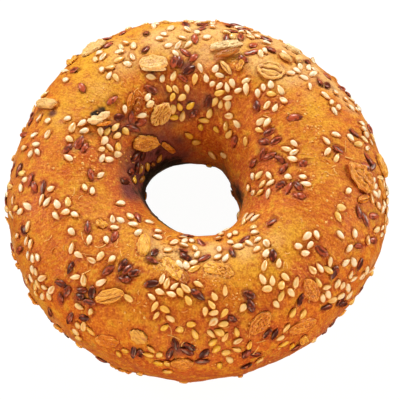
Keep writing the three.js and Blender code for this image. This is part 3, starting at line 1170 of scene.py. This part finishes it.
OVAL = (1.10, 1.08, 1.05, 1.03, 1.01, 1.0, 1.0, 1.0, 1.0, 1.01, 1.02, 1.04, 1.06, 1.08, 1.05)
LEAF = (0.72, 0.84, 0.92, 0.97, 1.0, 1.02, 1.03, 1.04, 1.03, 1.01, 0.99, 0.96, 0.92, 0.86, 0.8)
EGG = (0.85, 0.90, 0.95, 0.99, 1.03, 1.06, 1.07, 1.06, 1.04, 1.01, 0.98, 0.96, 0.94, 0.92, 0.9)
WAIST = (1.6, 1.4, 1.25, 1.12, 1.0, 0.86, 0.78, 0.80, 0.92, 1.04, 1.08, 1.04, 1.0, 0.95, 0.85)
BLOCK = (1.60, 1.38, 1.22, 1.12, 1.05, 1.0, 0.97, 0.96, 0.97, 1.0, 1.05, 1.12, 1.22, 1.38, 1.6)

FLAKE_FORMS = {
    "curled": Form(OVAL, wrinkles=0.2, grain=0.2, lumps=0.3, rim=0.2, curl=-0.15, blunt=0.9, ragged=0.5),
    "slab": Form(OVAL, plump=1.7, wrinkles=0.08, grain=0.16, lumps=0.2, rim=0.25, blunt=1.0, ragged=0.4),
    "lip": Form(BLOCK, grain=0.1, lumps=0.2, ragged=0.4),
    "wrinkled": Form(EGG, wrinkles=0.5, ribs=0.1, grain=0.2, lumps=0.4, rim=0.5, blunt=0.6, ragged=0.5),
    "rough": Form(OVAL, wrinkles=0.16, ribs=0.2, grain=0.26, lumps=0.3, rim=0.2, blunt=0.5, ragged=0.9),
    "lobed": Form(EGG, plump=1.8, wrinkles=0.08, grain=0.1, lumps=0.6, ragged=1.0),
    "thick": Form(BLOCK, plump=2.2, wrinkles=0.2, grain=0.08, lumps=0.2, blunt=0.4, ragged=0.3),
    "eye": Form(LEAF, grain=0.06, lumps=0.2, slit=0.36, ring=0.2, rim=0.3, ragged=0.4),
    "folded": Form(LEAF, wrinkles=0.2, grain=0.08, lumps=0.6, slit=0.26, rim=0.5, fold=0.3, ragged=0.5),
    "kernel": Form(EGG, plump=1.5, wrinkles=0.18, grain=0.06, lumps=0.14, blunt=0.2, ragged=0.3),
    "block": Form(OVAL, plump=1.5, wrinkles=0.1, grain=0.05, lumps=0.2, blunt=0.5, ragged=0.2),
    "split": Form(
        LEAF, plump=1.4, wrinkles=0.16, grain=0.08, slit=0.34, offset=-0.45, lumps=0.15, ragged=0.4
    ),
    "floury": Form(OVAL, wrinkles=0.08, grain=0.1, lumps=0.4, rim=0.1, blunt=0.2, ragged=0.7),
    "buried": Form(LEAF, ribs=0.08, grain=0.16, lumps=0.14, rim=0.1, blunt=0.5, ragged=0.3),
    "ribbed": Form(LEAF, wrinkles=0.14, ribs=0.2, grain=0.18, lumps=0.2, rim=0.24, blunt=0.3, ragged=0.35),
    "leaf": Form(LEAF, wrinkles=0.34, ribs=0.2, grain=0.18, lumps=0.14, rim=0.2, blunt=0.3, ragged=0.3),
    "chip": Form(WAIST, wrinkles=0.14, grain=0.16, lumps=0.45, rim=0.1, blunt=0.5, ragged=1.2),
    "chunk": Form(EGG, plump=1.6, grain=0.06, lumps=0.5, blunt=0.5, ragged=0.8),
    "stick": Form(BLOCK, plump=1.3, wrinkles=0.1, grain=0.2, lumps=0.2, ragged=0.6),
}
COMMON_FORMS = ("curled", "ribbed", "split", "kernel", "chip")


class BAGEL_OT_flakes(bpy.types.Operator):
    """Lays the rolled oat and wheat flakes and the kernels"""

    bl_idname = "bagel.flakes"
    bl_label = "Flakes"

    def execute(self, context):
        settings = context.scene.bagel_flakes
        chance = np.random.default_rng(11)
        pairs = []
        for flake in FLAKES:
            width = flake.width * MM
            spot = seedbed.seen_at(flake.x, flake.y, math.radians(flake.heading), width / 2)
            if spot is None:
                raise RuntimeError(f"no crust under the flake at {flake.x}, {flake.y}")
            seedbed.take(spot, flake.length * MM, width, 0.0)
            pairs.append((flake, spot))
        ground = [side * MM for side in BEHIND_SIZE]
        for spot in spots_behind(BEHIND_FLAKES, chance, *ground, FLAKE_CROWDING):
            form = str(chance.choice(COMMON_FORMS))
            look = (form, chance.uniform(*BEHIND_TONES), BEHIND_RISE, BEHIND_TIP)
            pairs.append((Flake(0, 0, 0, *BEHIND_SIZE, *look), spot))
        sheet = as_mould(flake_sheet())
        laid = []
        for number, (flake, spot) in enumerate(pairs):
            matrix = laid_on(spot, chance, flake.rise * MM, FLAKE_TILT)
            tipped = matrix @ Matrix.Rotation(math.radians(flake.tip), 4, "X")
            form = FLAKE_FORMS[flake.form]
            size = (flake.length * MM, flake.width * MM, settings.thickness * form.plump)
            laid.append((sculpted(domed(sheet, size, form), size, form, number), tipped, flake.tone))
        piece = joined("oat_flakes", laid)
        piece.data.materials.append(flake_material(settings))
        seedbed.press()
        return {"FINISHED"}


def flake_sheet():
    """A fine square sheet with a wall down from its edge and a plain floor."""
    grid = {"x_subdivisions": FLAKE_COLUMNS, "y_subdivisions": FLAKE_ROWS, "size": 2}
    sheet = started(bpy.ops.mesh.primitive_grid_add, "sheet", **grid)
    with editing(sheet, "EDGE"):
        bpy.ops.transform.translate(value=(0, 0, 1))
        bpy.ops.mesh.region_to_loop()
        bpy.ops.mesh.extrude_region_move(TRANSFORM_OT_translate={"value": (0, 0, -1)})
        bpy.ops.mesh.edge_face_add()
        bpy.ops.mesh.select_all(action="SELECT")
        bpy.ops.mesh.normals_make_consistent(inside=False)
    return sheet


def domed(sheet, size, form):
    """The sheet drawn onto a flake's outline. Its middle stands up, and its floor lies lower."""
    x, y, z = sheet.points.T
    # The square becomes a circle, and the circle takes on the girths.
    along = x * np.sqrt(1 - y**2 / 2)
    across = y * np.sqrt(1 - x**2 / 2)
    away = np.clip(np.hypot(along, across), 0, 1)
    girth = np.interp(-along, np.linspace(-1, 1, len(form.girths)), form.girths)
    # The dome is round at a power of 2, and a plate with a thick edge at 8.
    dome = np.sqrt(1 - away ** (2 + 6 * form.blunt))
    on_top = z > 0.5
    places = np.column_stack([along, across * girth, np.where(on_top, dome, FLAKE_FLOOR)])
    rim = np.where(on_top, np.clip((away - FLAKE_RIM) / (1 - FLAKE_RIM), 0, 1), 1.0)
    return Mould(places * np.array(size) / 2, sheet.faces, np.zeros(len(x)), rim)


def flake_material(settings):
    """Rolled oat and wheat: steamed grain, pressed flat between rollers. Its dry bran gives a matte
    face with fine lines along the grain. It is painted darker in the creases as shade, and paler
    on the ridges, partly meal and partly painted highlight."""
    material, tree, shader = blank_material("Rolled grain")
    tone, relief, rim = (add_node(tree, "Attribute", {}, "Fac", attribute_name=mark) for mark in MARKS)
    grain = add_node(tree, "Attribute", {}, "Vector", attribute_name="grain")
    drawn = add_node(tree, "Mapping", {"Vector": grain, "Scale": (0.35, 1.6, 1.6)})
    lines = {"Vector": drawn, "Scale": 1 / (1.0 * MM), "Detail": 3.0, "Roughness": 0.65}
    lined = add_node(tree, "TexNoise", lines)
    meal = {"Vector": grain, "Scale": 1 / (1.4 * MM), "Detail": 2.0, "Roughness": 0.6}
    mealy = add_node(tree, "TexNoise", meal)
    layers = (
        Layer(mealy, 0.50, 0.70, 0.4, settings.ridge),
        Layer(rim, 0.2, 0.6, 0.5, settings.ridge),
        # Painted highlight on the ridges, partly meal.
        Layer(relief, 0.0, -0.35, 0.7, settings.ridge),
        Layer(relief, -0.20, -0.60, 0.25, settings.meal),
        Layer(tone, 0.0, 1.0, 0.85, settings.toasted),
        Layer(lined, 0.51, 0.62, 0.6, settings.ridge),
        Layer(lined, 0.50, 0.38, 0.75, settings.fibre),
        Layer(tone, 0.0, -1.0, 0.8, settings.meal),
        # Painted shade where the creases start.
        Layer(relief, 0.05, 0.35, 0.6, settings.fibre),
        Layer(tone, 1.0, 2.0, 0.9, settings.crease),
        # Painted shade deep in the creases.
        Layer(relief, 0.25, 0.8, 0.8, settings.crease),
    )
    bump = {"Strength": 1.0, "Distance": 0.45 * MM, "Height": lined}
    bran = {
        "Base Color": layered(tree, settings.straw, layers),
        "Normal": add_node(tree, "Bump", bump),
        "Roughness": 0.32,
        "Specular IOR Level": 0.55,
    }
    fill_inputs(tree, shader, bran)
    return material


# ------------------------------------------------------------------ linseeds

SEED_SPREAD = 0.1  # how much seeds differ in size, as a share
BEHIND_CROWDING = 1.0  # seeds that the camera doesn't see lie apart

LINSEED_GIRTHS = (0.48, 0.76, 0.95, 1.06, 1.04, 0.92)
LINSEED_FORMS = (
    Form(LINSEED_GIRTHS, grain=0.1),
    Form(LINSEED_GIRTHS, slit=0.28, grain=0.1, ragged=0.5),
    Form(LINSEED_GIRTHS, lumps=0.3, hollow=0.2, rim=0.2, grain=0.12, ragged=0.8),
)
LINSEED_SHARES = (0.5, 0.25, 0.25)
LINSEED_CROWDING = 0.78
LINSEED_RISES = (0.0, 0.32)  # how far they stand off the crust, as shares of their thickness
LINSEED_TILT = 0.14  # radians
BEHIND_LINSEEDS = 30

# Linseeds are darkest on the front and palest at the back, and painted darker again, as shade, on
# the scorched places of the crust.
DARKER_END = -45 * MM
PALER_END = 5 * MM
TONE_SPREAD = 0.6
TONE_SLOPE = 0.5
SHADE_PLACE_DARKENING = 0.9


class BAGEL_OT_linseeds(bpy.types.Operator):
    """Scatters the linseeds"""

    bl_idname = "bagel.linseeds"
    bl_label = "Linseeds"

    def execute(self, context):
        settings = context.scene.bagel_linseeds
        chance = np.random.default_rng(23)
        size = (settings.length, settings.width, settings.thickness)
        moulds = seed_moulds("linseed", size, LINSEED_FORMS)
        spots = spots_in(LINSEED_PATCHES, chance, *size[:2], LINSEED_CROWDING)
        spots += spots_behind(BEHIND_LINSEEDS, chance, *size[:2], BEHIND_CROWDING)
        laid = []
        for spot in spots:
            mould = moulds[chance.choice(len(moulds), p=LINSEED_SHARES)]
            rise = chance.uniform(*LINSEED_RISES) * settings.thickness
            scale = Matrix.Diagonal((*chance.normal(1, SEED_SPREAD, 3), 1))
            paler = share_past(spot.point.y, DARKER_END, PALER_END)
            tone = min(1.0, TONE_SPREAD * chance.random() + TONE_SLOPE * paler)
            # Painted shade: a seed on the scorched places is darker.
            tone *= 1 - SHADE_PLACE_DARKENING * seedbed.mark_at("scorched", spot.point)
            laid.append((mould, laid_on(spot, chance, rise, LINSEED_TILT) @ scale, tone))
        piece = joined("linseeds", laid)
        piece.data.materials.append(linseed_material(settings))
        seedbed.press()
        return {"FINISHED"}


def seed_moulds(name, size, forms):
    """One mould of a few dozen faces for each form."""
    blanks = [as_mould(drop_shape(name, size, form.girths)) for form in forms]
    return [sculpted(blank, size, form, number) for number, (blank, form) in enumerate(zip(blanks, forms))]


def linseed_material(settings):
    """Linseed: a hard, polished seed coat. It is chestnut to nearly black, with soft glints, and
    pale where it tore in the heat. Its rim, underside and creases are painted darker as shade."""
    material, tree, shader = blank_material("Polished seed coat")
    tone, relief, rim = (add_node(tree, "Attribute", {}, "Fac", attribute_name=mark) for mark in MARKS)
    grain = add_node(tree, "Attribute", {}, "Vector", attribute_name="grain")
    mottles = {"Vector": grain, "Scale": 1 / (1.0 * MM), "Detail": 2.0, "Roughness": 0.6}
    mottled = add_node(tree, "TexNoise", mottles)
    layers = (
        Layer(tone, 0.1, 1.0, 0.8, settings.chestnut),
        Layer(mottled, 0.48, 0.64, 0.6, settings.chestnut),
        Layer(mottled, 0.50, 0.36, 0.7, settings.dark),
        # Painted shade: darker towards the rim and underside.
        Layer(rim, 0.4, 1.0, 0.65, settings.dark),
        # Painted shade in the creases.
        Layer(relief, 0.10, 0.35, 0.8, settings.dark),
        Layer(relief, -0.12, -0.32, 0.7, settings.torn),
    )
    colour = layered(tree, settings.dark, layers)
    fill_inputs(tree, shader, {"Base Color": colour, "Roughness": 0.32, "Specular IOR Level": 0.5})
    return material


# ------------------------------------------------------------------ sesame

SESAME_GIRTHS = (0.52, 0.76, 0.94, 1.06, 1.14, 1.14)
SESAME_FORMS = (
    Form(SESAME_GIRTHS, lumps=0.06, ragged=0.2),
    Form(SESAME_GIRTHS, lumps=0.12, ragged=0.4),
    Form(SESAME_GIRTHS, hollow=0.14, rim=0.12, lumps=0.14, ragged=0.5),
    Form(SESAME_GIRTHS, slit=0.22, lumps=0.1, ragged=0.4),
)
SESAME_SHARES = (0.4, 0.34, 0.13, 0.13)
SESAME_CROWDING = 0.86
SESAME_RISES = (0.1, 0.35)  # how far they stand off the crust, as shares of their thickness
SESAME_TILT = 0.16  # radians
BEHIND_SESAME = 90

# Seeds are painted golden low on the flank, on the front and on the far wall of the hole: painted
# warm shade where they lie turned from the light.
FRONT_START = -20 * MM
FRONT_END = -48 * MM
FLANK_START = 30 * MM
FLANK_END = 12 * MM
WALL_START = 30 * MM
WALL_END = 16 * MM
GOLDEN_SEEDS = 0.18  # the share of seeds that are golden wherever they lie
GOLDEN_SHARE = 0.6  # how far such a seed is toasted
PALE_TONE = 0.05
TOAST_AND_SHADE_GAIN = 0.75  # how much a seed gains at full share, from chance toasting and from painted warm shade on the front, the low flank and the far wall
TOASTING_SPREAD = 0.14
SHADE_PLACE_GAIN = 0.8  # and, as painted shade, where it lies on the scorched places of the crust


class BAGEL_OT_sesame(bpy.types.Operator):
    """Scatters the hulled sesame seeds"""

    bl_idname = "bagel.sesame"
    bl_label = "Sesame"

    def execute(self, context):
        settings = context.scene.bagel_sesame
        chance = np.random.default_rng(37)
        size = (settings.length, settings.width, settings.thickness)
        moulds = seed_moulds("sesame", size, SESAME_FORMS)
        spots = spots_in(SESAME_PATCHES, chance, *size[:2], SESAME_CROWDING)
        spots += spots_behind(BEHIND_SESAME, chance, *size[:2], BEHIND_CROWDING)
        laid = []
        for spot in spots:
            mould = moulds[chance.choice(len(moulds), p=SESAME_SHARES)]
            rise = chance.uniform(*SESAME_RISES) * settings.thickness
            matrix = laid_on(spot, chance, rise, SESAME_TILT)
            scale = Matrix.Diagonal((*chance.normal(1, SEED_SPREAD, 3), 1))
            laid.append((mould, matrix @ scale, toasting(spot.point, chance)))
        piece = joined("sesame_seeds", laid)
        piece.data.materials.append(sesame_material(settings))
        seedbed.press()
        return {"FINISHED"}


def toasting(place, chance):
    """How golden a seed at a place is, from 0 to 1: golden by chance, and painted warm shade on the
    front, the low flank and the far wall. It darkens further, to 2, as painted shade on scorched places.
    """
    front = share_past(place.y, FRONT_START, FRONT_END)
    flank = share_past(place.z, FLANK_START, FLANK_END)
    wall = share_past(math.hypot(place.x, place.y), WALL_START, WALL_END) * (place.y > 0)
    scorched = seedbed.mark_at("scorched", place)
    golden = chance.random() < GOLDEN_SEEDS
    share = max(GOLDEN_SHARE * golden, front, flank, wall)
    tone = chance.normal(PALE_TONE, TOASTING_SPREAD) + TOAST_AND_SHADE_GAIN * share
    return min(1.0, max(0.0, tone)) + SHADE_PLACE_GAIN * scorched**2


def sesame_material(settings):
    """Hulled sesame: a smooth, waxy kernel, cream where pale and golden where toasted, and golden as
    painted warm shade where it lies turned from the light. Its rim is partly browned and partly
    painted shade on its sides, underside and creases. A little light goes through it."""
    material, tree, shader = blank_material("Hulled sesame")
    tone, relief, rim = (add_node(tree, "Attribute", {}, "Fac", attribute_name=mark) for mark in MARKS)
    grain = add_node(tree, "Attribute", {}, "Vector", attribute_name="grain")
    mottles = {"Vector": grain, "Scale": 1 / (1.5 * MM), "Detail": 2.0, "Roughness": 0.6}
    mottled = add_node(tree, "TexNoise", mottles)
    layers = (
        # The tone holds painted warm shade on the front, the low flank and the far wall.
        Layer(tone, 0.0, 1.0, 1.0, settings.golden),
        Layer(mottled, 0.50, 0.75, 0.35, settings.golden),
        # Painted shade on the sides and underside, partly a browned rim.
        Layer(rim, 0.05, 0.75, 0.9, settings.rim),
        # Painted shade in the creases.
        Layer(relief, 0.10, 0.40, 0.7, settings.rim),
        # Painted shade on seeds that lie on the scorched places.
        Layer(tone, 1.0, 1.6, 0.8, settings.scorched),
    )
    kernel = {
        "Base Color": layered(tree, settings.cream, layers),
        "Roughness": 0.24,
        "Specular IOR Level": 0.7,
        "Subsurface Weight": 0.1,
        "Subsurface Radius": (0.8, 0.6, 0.3),
        "Subsurface Scale": 0.8 * MM,
    }
    fill_inputs(tree, shader, kernel)
    return material


# ------------------------------------------------------------------ bran and crumbs

SLIVER_STEPS = 6
SLIVER_WIDTH = 0.22 * MM
SLIVER_THICKNESS = 0.1 * MM

# Long straight slivers, curved ones and short chips: their share of the usual length, and how far
# each of their steps turns, in degrees.
SLIVERS = ((1.7, 5), (1.1, 13), (0.6, 9))

# How small and how large each side of a copy may be, as shares of its mould's.
CRUMB_SCALES = ((0.5, 0.5, 0.3), (1.3, 1.3, 0.6))
SLIVER_SCALES = ((0.7, 0.7, 0.7), (1.2, 1.2, 1.2))

CRUMB_RISE = 0.1  # how far crumbs stand off the crust, as a share of their size
CRUMB_TILT = 0.3  # radians
SLIVER_RISE = 0.12 * MM
SLIVER_TILT = 0.2
BRAN_CROWDING = 0.7


class BAGEL_OT_bran(bpy.types.Operator):
    """Scatters the slivers of bran and the crumbs"""

    bl_idname = "bagel.bran"
    bl_label = "Bran and crumbs"

    def execute(self, context):
        settings = context.scene.bagel_bran
        chance = np.random.default_rng(53)
        spots = spots_in(CRUMB_PATCHES, chance, settings.crumb, settings.crumb, BRAN_CROWDING)
        moulds = [as_mould(crumb_shape(settings.crumb))]
        lie = (CRUMB_RISE * settings.crumb, CRUMB_TILT)
        crumbs = strewn(moulds, spots, chance, CRUMB_SCALES, lie)
        spots = spots_in(SLIVER_PATCHES, chance, settings.sliver, settings.sliver / 5, BRAN_CROWDING)
        moulds = [as_mould(sliver_shape(settings.sliver * size, bend)) for size, bend in SLIVERS]
        slivers = strewn(moulds, spots, chance, SLIVER_SCALES, (SLIVER_RISE, SLIVER_TILT))
        material = bran_material(settings)
        for name, laid in (("crumbs", crumbs), ("bran_slivers", slivers)):
            piece = joined(name, laid)
            piece.data.materials.append(material)
        return {"FINISHED"}


def strewn(moulds, spots, chance, scales, lie):
    """Copies of the moulds, one on each spot, each with its own size and tone."""
    laid = []
    for spot in spots:
        mould = moulds[chance.integers(len(moulds))]
        scale = Matrix.Diagonal((*chance.uniform(*scales), 1))
        laid.append((mould, laid_on(spot, chance, *lie) @ scale, chance.random()))
    return laid


def crumb_shape(size):
    """A small ball with its corners moved."""
    crumb = started(bpy.ops.mesh.primitive_ico_sphere_add, "crumb", subdivisions=1, radius=size / 2)
    with editing(crumb):
        bpy.ops.transform.vertex_random(offset=size / 6, seed=5)
    return crumb


def sliver_shape(length, bend):
    """A thin strip: its end face is drawn out step by step, and turned a little further each time."""
    step = length / SLIVER_STEPS
    turn = math.radians(bend)
    size = (step, SLIVER_WIDTH, SLIVER_THICKNESS)
    turned = 0.0
    sliver = started(bpy.ops.mesh.primitive_cube_add, "sliver", size=1)
    with editing(sliver):
        bpy.ops.transform.resize(value=size, center_override=(0, 0, 0))
        bpy.ops.transform.translate(value=(-length / 2, 0, 0))
        select_where(sliver, lambda place: place.x > -length / 2)
        for _ in range(SLIVER_STEPS):
            shape = bmesh.from_edit_mesh(sliver.data)
            middle = sum((v.co for v in shape.verts if v.select), Vector()) / 4
            ahead = Vector((math.cos(turned), math.sin(turned), 0)) * step
            bpy.ops.mesh.extrude_region_move(TRANSFORM_OT_translate={"value": ahead})
            bpy.ops.transform.rotate(value=-turn, orient_axis="Z", center_override=middle + ahead)
            turned += turn
        bpy.ops.mesh.select_all(action="SELECT")
        bpy.ops.mesh.normals_make_consistent(inside=False)
    return sliver


def bran_material(settings):
    """Bran: the dry husk of the grain, thin, pale and matte, with no gloss at all."""
    material, tree, shader = blank_material("Dry bran")
    tone = add_node(tree, "Attribute", {}, "Fac", attribute_name="tone")
    grain = add_node(tree, "Attribute", {}, "Vector", attribute_name="grain")
    mottles = {"Vector": grain, "Scale": 1 / (0.5 * MM), "Detail": 2.0, "Roughness": 0.6}
    mottled = add_node(tree, "TexNoise", mottles)
    layers = (
        Layer(tone, 0.0, 1.0, 1.0, settings.brown),
        Layer(mottled, 0.45, 0.70, 0.4, settings.brown),
    )
    colour = layered(tree, settings.pale, layers)
    fill_inputs(tree, shader, {"Base Color": colour, "Roughness": 0.6})
    return material


# ------------------------------------------------------------------ panel and registration


class BAGEL_PT_panel(bpy.types.Panel):
    """Lists the pieces of the bagel in the order in which they are made"""

    bl_label = "Seeded Ring Bagel"
    bl_idname = "BAGEL_PT_panel"
    bl_space_type = "VIEW_3D"
    bl_region_type = "UI"
    bl_category = "Bagel"

    def draw(self, context):
        for name, (operator, _) in PIECES.items():
            box = self.layout.box()
            box.operator(operator.bl_idname)
            settings = getattr(context.scene, name)
            for setting in settings.__annotations__:
                box.prop(settings, setting)


# The groups of settings on the scene, in the order in which the pieces are made.
PIECES = {
    "bagel_stage": (BAGEL_OT_stage, BagelStageSettings),
    "bagel_crust": (BAGEL_OT_crust, BagelCrustSettings),
    "bagel_flakes": (BAGEL_OT_flakes, BagelFlakeSettings),
    "bagel_linseeds": (BAGEL_OT_linseeds, BagelLinseedSettings),
    "bagel_sesame": (BAGEL_OT_sesame, BagelSesameSettings),
    "bagel_bran": (BAGEL_OT_bran, BagelBranSettings),
}


def register():
    for name, (operator, group) in PIECES.items():
        bpy.utils.register_class(group)
        bpy.utils.register_class(operator)
        setattr(bpy.types.Scene, name, bpy.props.PointerProperty(type=group))
    bpy.utils.register_class(BAGEL_PT_panel)


def unregister():
    bpy.utils.unregister_class(BAGEL_PT_panel)
    for name, (operator, group) in reversed(PIECES.items()):
        delattr(bpy.types.Scene, name)
        bpy.utils.unregister_class(operator)
        bpy.utils.unregister_class(group)


def main():
    """Makes every piece."""
    register()
    bpy.ops.bagel.stage()
    bpy.ops.bagel.crust()
    bpy.ops.bagel.flakes()
    bpy.ops.bagel.linseeds()
    bpy.ops.bagel.sesame()
    bpy.ops.bagel.bran()


if __name__ == "__main__":
    main()
